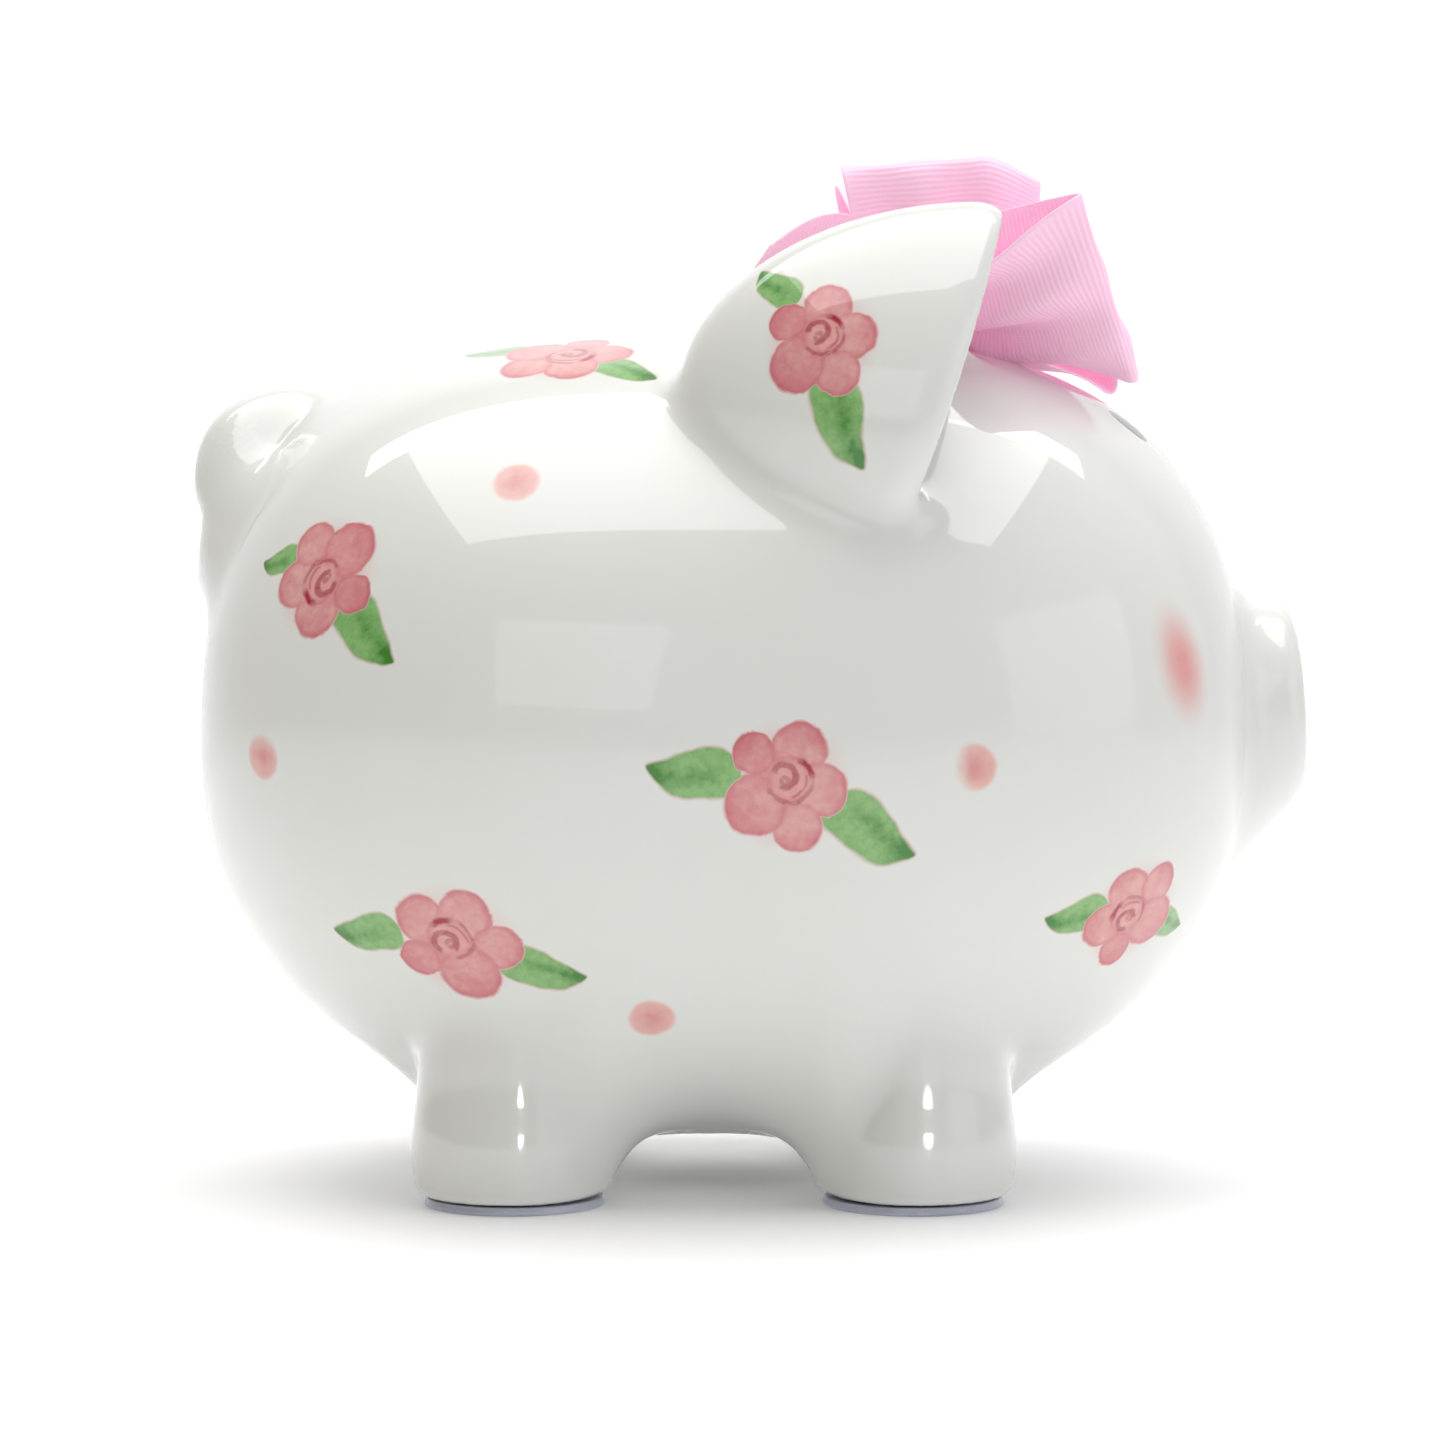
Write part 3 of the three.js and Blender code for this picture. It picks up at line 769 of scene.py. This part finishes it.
bottom, seat = STOPPER["z"], STOPPER["z"] + STOPPER["flange"]
top, rim, stem_radius = seat + STOPPER["stem"], STOPPER["flange_radius"], STOPPER["hole"] - 0.3
stopper = turned(
    "rubber_stopper_moulded",
    rounded_outline(
        [(0.4, bottom + 0.9), (4.6, bottom + 0.9), (4.9, bottom + 0.4), (6.6, bottom + 0.4), (7.0, bottom + 0.9),
         (10.5, bottom + 0.5), (rim - 2.5, bottom), (rim, bottom), (rim, seat), (stem_radius, seat),
         (stem_radius - 0.8, seat + 1.6), (stem_radius - 0.8, seat + 4.4), (stem_radius, seat + 6.0),
         (stem_radius - 0.4, top - 1.6), (stem_radius - 1.8, top), (stem_radius - 3.7, top),
         (stem_radius - 4.3, top - 1.5), (0.4, top - 1.5)],
        0.7,
    ),
    (STOPPER["x"], 0, 0),
)
place(stopper, "stopper", "stopper_rubber", "rubber_stopper")

pads = []
for foot, (x, y) in FEET.items():
    low, high = (np.array(p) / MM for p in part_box(f"foot_pad_{foot}"))
    radius = PAD_RADIUS
    pad = turned(
        f"vinyl_pad_{foot}",
        rounded_outline([(0.4, low[2]), (radius - 0.5, low[2]), (radius, low[2] + 0.4), (radius - 0.3, high[2]),
                         (radius - 1.4, high[2]), (0.4, high[2])], 0.35),
        ((low[0] + high[0]) / 2, (low[1] + high[1]) / 2, 0),
    )
    pads.append(place(pad, "root", "pad_vinyl", f"foot_pad_{foot}"))

rubber = Material("stopper_rubber", Roughness=0.62, IOR=1.5)
rubber_grain = rubber.noise(rubber.position(), 900.0, 4.0, 0.6)
rubber_bloom = rubber.noise(rubber.position(), 70.0, 3.0, 0.6)
rubber.set("Base Color", rubber.mix(rubber_bloom, colour(34, 34, 35), colour(58, 57, 56)))
rubber.set("Roughness", rubber_bloom * 0.25 + 0.5)
rubber.bump(rubber_grain, 0.0003, 0.35)
rubber.onto(stopper)

vinyl = Material("pad_vinyl", IOR=1.46, Coat_Weight=0.3, Coat_Roughness=0.2, Subsurface_Weight=0.25,
                 Subsurface_Scale=0.002)
vinyl_cloud = vinyl.noise(vinyl.position(), 130.0, 3.0, 0.6)
vinyl.set("Base Color", vinyl.mix(vinyl_cloud, colour(186, 192, 208), colour(206, 211, 224)))
vinyl.set("Roughness", vinyl_cloud * 0.2 + 0.22)
vinyl.bump(vinyl.noise(vinyl.position(), 700.0, 2.0), 0.0002, 0.25)
vinyl.onto(*pads)

# ---------------------------------------------------------------- the grosgrain bow
RIBBON = dict(width=38.0, pinch=8.0, thickness=0.45, rib=0.045, pitch=1.0, selvedge=1.0)
RIB_ROWS = 5  # rows of points to each rib
SELVEDGE = dict(columns=4, plain=0.6, swell=0.15, edge=0.45)
FIELD_COLUMNS = 26
# Where a loop's pulled-in corner starts across the ribbon, and how sharply it is pulled across and along it.
CORNER_PULL = dict(start=0.22, across=1.2, along=3)
KNOT = dict(x=37.0, z=170.4, length=8.5, height=5.6, width=7.0)
KNOT_AT = np.array([KNOT["x"], 0.0, KNOT["z"]])
LOOPS = {
    "upper": dict(out=(-0.04, -0.62, 0.78), across_knot=(0.98, 0.0, 0.1), across_end=(0.99, 0.05, 0.07),
                  reach=33.0, bulge=5.0, twist=1.0),
    "front": dict(out=(0.72, -0.69, 0.03), across_knot=(0.77, 0.77, -0.64), across_end=(0.46, 0.16, -0.9),
                  reach=41.2, bulge=5.0, twist=2.5),
}
TAILS = dict(out=(-0.86, -0.5, -0.03), across=(0.15, -0.85, 0.5), reach=48.0, arch=6.5, drop=2.0)
CORNER = {"upper": 6.5, "front": 0.0}
MIRROR = np.array([1.0, -1.0, 1.0])


def wave_slope(stretch):
    """The steepest slope of a sine wave whose arc is stretch times as long as its run."""
    slopes = np.linspace(0, 12, 240)
    phase = np.linspace(0, np.pi, 80)
    arcs = np.sqrt(1 + (slopes[:, None] * np.cos(phase)) ** 2).mean(1)
    return np.interp(stretch, arcs, slopes)


def ribbon(name, centre, across, width, pleats, lie, flat_width=RIBBON["width"], corner=0.0, inwards=None):
    """A ribbed strip along a centre line. Where it is narrower than its flat width it is pleated, so that
    its width across the pleats stays the same. lie is which way its pleats begin. At its middle, its last
    edge is pulled in by corner, along inwards. Gives the piece and its length."""
    run = np.concatenate([[0], np.cumsum(np.linalg.norm(np.diff(centre, axis=0), axis=1))])
    rows = int(run[-1] / (RIBBON["pitch"] / RIB_ROWS)) + 1
    at = np.linspace(0, run[-1], rows)
    line = np.stack([np.interp(at, run, centre[:, i]) for i in range(3)], 1)
    side = unit(np.stack([np.interp(at, run, across[:, i]) for i in range(3)], 1))
    wide = np.interp(at, run, width)
    ahead = unit(np.gradient(line, axis=0))
    up = unit(np.cross(side, ahead))
    edge_share = RIBBON["selvedge"] / flat_width
    inside = 0.5 - edge_share
    v = np.concatenate([np.linspace(-0.5, -inside, SELVEDGE["columns"]),
                        np.linspace(-inside, inside, FIELD_COLUMNS)[1:-1],
                        np.linspace(inside, 0.5, SELVEDGE["columns"])])
    k = 2 * np.pi * pleats / wide
    rise = wave_slope(np.maximum(flat_width / wide, 1.0)) / k
    fold = rise[:, None] * np.sin(2 * np.pi * pleats * v[None, :] + lie)
    fold -= fold.mean(1, keepdims=True)
    sideways = side[:, None, :] * (wide[:, None] * v[None, :])[..., None]
    middle = line[:, None, :] + sideways + up[:, None, :] * fold[..., None]
    if corner:
        start = CORNER_PULL["start"]
        near_edge = np.clip((v - start) / (0.5 - start), 0, 1) ** CORNER_PULL["across"]
        near_bend = np.sin(np.pi * at / run[-1]) ** CORNER_PULL["along"]
        middle += np.array(inwards) * (corner * near_bend[:, None] * near_edge[None, :])[..., None]
    du, dv = np.gradient(middle, axis=0), np.gradient(middle, axis=1)
    face = unit(np.cross(dv, du))
    rib = RIBBON["rib"] * np.cos(2 * np.pi * at / RIBBON["pitch"])
    inner = np.clip((0.5 - np.abs(v)) / edge_share - SELVEDGE["plain"], 0, 1)
    half = RIBBON["thickness"] / 2 * (1 + SELVEDGE["swell"] * (1 - inner))[None, :]
    half = half + rib[:, None] * inner[None, :]
    half[:, [0, -1]] *= SELVEDGE["edge"]
    lift = face * half[..., None]
    points = np.concatenate([(middle + lift).reshape(-1, 3), (middle - lift).reshape(-1, 3)])
    columns, lower = len(v), rows * len(v)
    i, j = np.meshgrid(np.arange(rows - 1), np.arange(columns - 1), indexing="ij")
    a = (i * columns + j).ravel()
    top = np.stack([a, a + 1, a + columns + 1, a + columns], 1)
    quads = [top, top[:, ::-1] + lower]
    for start, step_, count in ((0, columns, rows - 1), (columns - 1, columns, rows - 1)):
        e = start + np.arange(count) * step_
        strip = np.stack([e, e + step_, e + step_ + lower, e + lower], 1)
        quads.append(strip if start == 0 else strip[:, ::-1])
    for start, flip in ((0, True), ((rows - 1) * columns, False)):
        e = start + np.arange(columns - 1)
        strip = np.stack([e, e + 1, e + 1 + lower, e + lower], 1)
        quads.append(strip[:, ::-1] if flip else strip)
    piece = make_object(name, points, np.concatenate(quads))
    across_mm = np.broadcast_to(v * flat_width, (rows, columns))
    along_mm = np.broadcast_to(at[:, None], (rows, columns))
    weave = np.stack([across_mm, along_mm, np.broadcast_to(inner, (rows, columns))], 2).reshape(-1, 3)
    add_attribute(piece, "weave", np.concatenate([weave, weave]))
    return piece, run[-1]


def loop_line(out, across_knot, across_end, reach, bulge, twist, side, steps=120):
    """A loop's centre line, its width direction and its width: out of the knot, round a bend and back in."""
    flip = MIRROR if side == "left" else np.ones(3)
    out = unit(np.array(out) * flip)
    turn = np.pi * (np.linspace(0, 1, steps) - 0.5)
    share = np.cos(turn)
    spread = np.maximum(share, 0) ** 0.26
    first, last = np.array(across_knot) * flip, np.array(across_end) * flip
    across = first + (last - first) * (share ** twist)[:, None]
    across = unit(across - out * (across @ out)[:, None])
    lift = np.cross(out, across)
    near = KNOT["length"] - 2.0
    swell = 1 + bulge * 1.6 * spread * (1 - 0.25 * share)
    centre = KNOT_AT + out * (near + (reach - near) * share)[:, None]
    centre = centre - lift * (np.sin(turn) * swell)[:, None]
    return centre, across, RIBBON["pinch"] + (RIBBON["width"] - RIBBON["pinch"]) * spread


def tail_strip(out, across, reach, arch, drop, side, steps=60):
    flip = MIRROR if side == "left" else np.ones(3)
    out, across = unit(np.array(out) * flip), np.array(across) * flip
    across = unit(across - out * (across @ out))
    share = np.linspace(0, 1, steps)
    near = KNOT["length"] - 2.0
    centre = KNOT_AT + out * (near + (reach - near) * share)[:, None]
    centre[:, 2] += arch * np.sin(np.pi * share) - drop * (1 - share)
    width = RIBBON["pinch"] + (RIBBON["width"] - RIBBON["pinch"]) * np.sin(np.pi / 2 * share)
    return centre, np.tile(across, (steps, 1)), width


ribbons = []
for side in ("left", "right"):
    for which, shape in LOOPS.items():
        flip = MIRROR if side == "left" else np.ones(3)
        piece, length = ribbon(f"ribbon_loop_{which}_{side}", *loop_line(side=side, **shape), 2.5, 0.0,
                               corner=CORNER[which], inwards=-unit(np.array(shape["out"]) * flip))
        place(piece, "root", "ribbon", f"bow_loop_{which}_{side}")
        ribbons.append(piece)
    piece, length = ribbon(f"ribbon_tail_{side}", *tail_strip(side=side, **TAILS), 1.5, 0.0)
    place(piece, "root", "ribbon", f"bow_tail_{side}")
    ribbons.append(piece)


def wrap_line(steps=160):
    """The wrap's line round the knot: a rounded oblong in the plane of the pig's middle, lapped under itself."""
    angle = np.linspace(-0.62 * np.pi, 1.5 * np.pi, steps)
    c, s = np.cos(angle), np.sin(angle)
    power = 2 / 2.6
    inset = 0.5 * (angle < -0.5 * np.pi)
    x = (KNOT["length"] - 0.6 - inset) * np.sign(c) * np.abs(c) ** power
    z = (KNOT["height"] - 0.6 - inset) * np.sign(s) * np.abs(s) ** power
    return KNOT_AT + np.stack([x, 0 * x, z], 1)


wrap_path = wrap_line()
WRAP_WIDTH = 15.5
wrap, wrap_length = ribbon("ribbon_wrap", wrap_path, np.tile([0.0, 1.0, 0.0], (len(wrap_path), 1)),
                           np.full(len(wrap_path), 2 * KNOT["width"] - 1), 2.5, 0.4, flat_width=WRAP_WIDTH)
place(wrap, "root", "ribbon", "bow_knot")
ribbons.append(wrap)

grosgrain = Material("grosgrain", IOR=1.5, Sheen_Weight=0.3, Sheen_Roughness=0.45, Specular_IOR_Level=0.3,
                     Sheen_Tint=colour(255, 214, 232))
# A faint painted glow: the ribbon gives off a little pink light of its own, the same all over, standing in for
# light coming through the thin weave, though it is no lamp.
grosgrain.shader.inputs["Emission Color"].default_value = colour(255, 176, 216)
grosgrain.shader.inputs["Emission Strength"].default_value = 0.15
w_across, w_along, w_inner = grosgrain.split(grosgrain.attribute("weave"))
yarn = (w_along * (2 * math.pi / RIBBON["pitch"])).maths("COSINE") * 0.5 + 0.5
WARP_PITCH = 0.34
warp = (w_across * (2 * math.pi / WARP_PITCH) + yarn * 1.2).maths("SINE") * 0.5 + 0.5
fleck = grosgrain.noise(grosgrain.join(w_across * 0.9, w_along * 0.25, 0.0), 2.4, 3.0, 0.6)
fibre = grosgrain.noise(grosgrain.join(w_across * 5.0, w_along * 1.2, 3.0), 3.0, 3.0, 0.7)
crown = yarn * w_inner + (1.0 - w_inner) * 0.75
# The colour is paler on the ribs' crowns and deeper pink in the grooves between ribs and between warp threads,
# which is painted shade. It is mixed with the yarn's own random fleck and fibre tone.
groove_shade_and_fleck = crown * 0.62 + warp * 0.1 + fleck * 0.2 + fibre * 0.18
pink = grosgrain.mix(groove_shade_and_fleck.clamped(), colour(255, 196, 227), colour(255, 226, 243))
grosgrain.set("Base Color", pink)
grosgrain.set("Roughness", fibre * 0.25 + 0.5)
grosgrain.bump(crown * 0.5 + warp * 0.3 + fibre * 0.3, 0.00012, 0.5)
grosgrain.onto(*ribbons)


def glue_field(x, y, z):
    """A squashed drop of glue between the head and the bow, lobed where it squeezed out."""
    low, high = (np.array(p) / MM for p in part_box("bow_glue"))
    middle, half = (low + high) / 2, (high - low) / 2
    angle = np.arctan2(y - middle[1], x - middle[0])
    lobed = 0.9 + 0.06 * np.sin(3 * angle + 0.7) + 0.04 * np.sin(5 * angle + 2.0)
    return ellipsoid((x - middle[0]) / lobed, (y - middle[1]) / lobed, z - middle[2], half[0], half[1], half[2])


glue_low, glue_high = (np.array(p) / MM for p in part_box("bow_glue"))
GLUE_STEP = 0.4
glue_axes = tuple(grid_line((low - 1, high + 1, GLUE_STEP)) for low, high in zip(glue_low, glue_high))
glue_points, glue_quads = surface_nets(glue_field, glue_axes)
glue_points = settled(glue_field, glue_points)
glue = make_object("glue_blob", glue_points, glue_quads, unit(slope(glue_field, glue_points)))
place(glue, "root", "glue", "bow_glue")
amber = Material("hot_glue", IOR=1.48, Subsurface_Weight=0.4, Subsurface_Scale=0.003)
haze = amber.noise(amber.position(), 300.0, 3.0)
amber.set("Base Color", amber.mix(haze, colour(224, 214, 190), colour(240, 233, 214)))
amber.set("Roughness", haze * 0.25 + 0.2)
amber.bump(haze, 0.0003, 0.3)
amber.onto(glue)

# ---------------------------------------------------------------- stage, light and camera
def stage_mesh(name, points, faces, **constants):
    mesh = bpy.data.meshes.new(name)
    mesh.from_pydata(points, [], faces)
    mesh.polygons.foreach_set("use_smooth", [True] * len(mesh.polygons))
    made = bpy.data.objects.new(name, mesh)
    bpy.context.scene.collection.objects.link(made)
    cover = Material(name, **constants)
    cover.onto(made)
    return cover


def sweep(back, radius, half_width, front, height, steps=16):
    """A floor that curves up into a backdrop, as points and faces in metres."""
    outline = [(front, 0.0)]
    for i in range(steps + 1):
        angle = math.pi / 2 * i / steps
        outline.append((back - radius + radius * math.sin(angle), radius - radius * math.cos(angle)))
    outline.append((back, height))
    points = [(x, y, z) for y, z in outline for x in (-half_width, half_width)]
    faces = [(2 * i, 2 * i + 1, 2 * i + 3, 2 * i + 2) for i in range(len(outline) - 1)]
    return points, faces


floor = stage_mesh("studio_sweep", *sweep(1.3, 0.5, 2.5, -2.5, 2.2), Roughness=0.55)
floor.shader.inputs["Emission Color"].default_value = (1.0, 1.0, 1.0, 1.0)
floor.shader.inputs["Emission Strength"].default_value = 0.13
paper = floor.noise(floor.position(), 3.0, 2.0)
floor.set("Base Color", floor.mix(paper, colour(243, 243, 244), colour(246, 246, 247)))

ROOM_FRONT, ROOM_BACK = 0.16, 0.7
ROOM_LEFT, ROOM_RIGHT = 0.7, 0.6  # the strength at the left, and what is added to it at the right
# The room: dim behind the camera and bright behind the pig, warmer to the left and cooler to the right.
world = bpy.data.worlds.new("studio")
bpy.context.scene.world = world
world.use_nodes = True
tree = world.node_tree
direction = Wire(tree, tree.nodes.new("ShaderNodeTexCoord").outputs["Generated"])
parts = tree.nodes.new("ShaderNodeSeparateXYZ")
feed(tree, parts.inputs[0], direction)
room_x, room_y = Wire(tree, parts.outputs[0]), Wire(tree, parts.outputs[1])
tint = tree.nodes.new("ShaderNodeMix")
tint.data_type = "RGBA"
feed(tree, tint.inputs["Factor"], room_x.step(-0.9, 0.9))
tint.inputs[6].default_value = (1.0, 0.93, 0.8, 1.0)
tint.inputs[7].default_value = (0.93, 0.97, 1.0, 1.0)
backdrop = tree.nodes["Background"]
feed(tree, backdrop.inputs["Color"], Wire(tree, tint.outputs[2]))
front_to_back = room_y.step(-0.5, 0.9) * (ROOM_BACK - ROOM_FRONT) + ROOM_FRONT
left_to_right = room_x.step(-1.0, 1.0) * ROOM_RIGHT + ROOM_LEFT
feed(tree, backdrop.inputs["Strength"], front_to_back * left_to_right)


def area_light(name, centre, target, size, power):
    data = bpy.data.lights.new(name, "AREA")
    data.shape = "RECTANGLE"
    data.size, data.size_y = size
    data.energy = power
    lamp = bpy.data.objects.new(name, data)
    bpy.context.scene.collection.objects.link(lamp)
    lamp.location = centre
    lamp.rotation_euler = (Vector(target) - Vector(centre)).to_track_quat("-Z", "Y").to_euler()
    return lamp


area_light("overhead_softbox", (0.02, -0.2, 1.25), (0.02, -0.2, 0.0), size=(1.35, 1.0), power=12.8)
area_light("backdrop_light", (0.0, 0.55, 1.7), (0.0, 1.3, 0.3), size=(2.4, 0.4), power=14.0)
low_card = area_light("low_card", (0.125, -0.42, 0.025), (0.03, -0.05, -0.005), size=(0.2, 0.06), power=0.008)
low_card.data.spread = math.radians(13)
low_card.visible_diffuse = False
area_light("far_window", (-0.5, -1.85, 0.78), (0.0, 0.0, 0.1), size=(0.75, 0.85), power=2.0)
area_light("side_fill", (1.9, -1.3, 0.7), (0.0, 0.0, 0.06), size=(1.6, 1.4), power=6.0)

camera_data = bpy.data.cameras.new("photo_view")
camera_data.sensor_width = 36.0
camera_data.lens = 101.8
camera = bpy.data.objects.new("photo_view", camera_data)
bpy.context.scene.collection.objects.link(camera)
CAMERA_PITCH = 1.86  # degrees below level
camera.location = (-0.0058, -0.8, 0.115)
camera.rotation_euler = (math.radians(90 - CAMERA_PITCH), 0.0, 0.0)
bpy.context.scene.camera = camera
bpy.context.scene.view_settings.view_transform = "Standard"

bpy.context.view_layer.update()
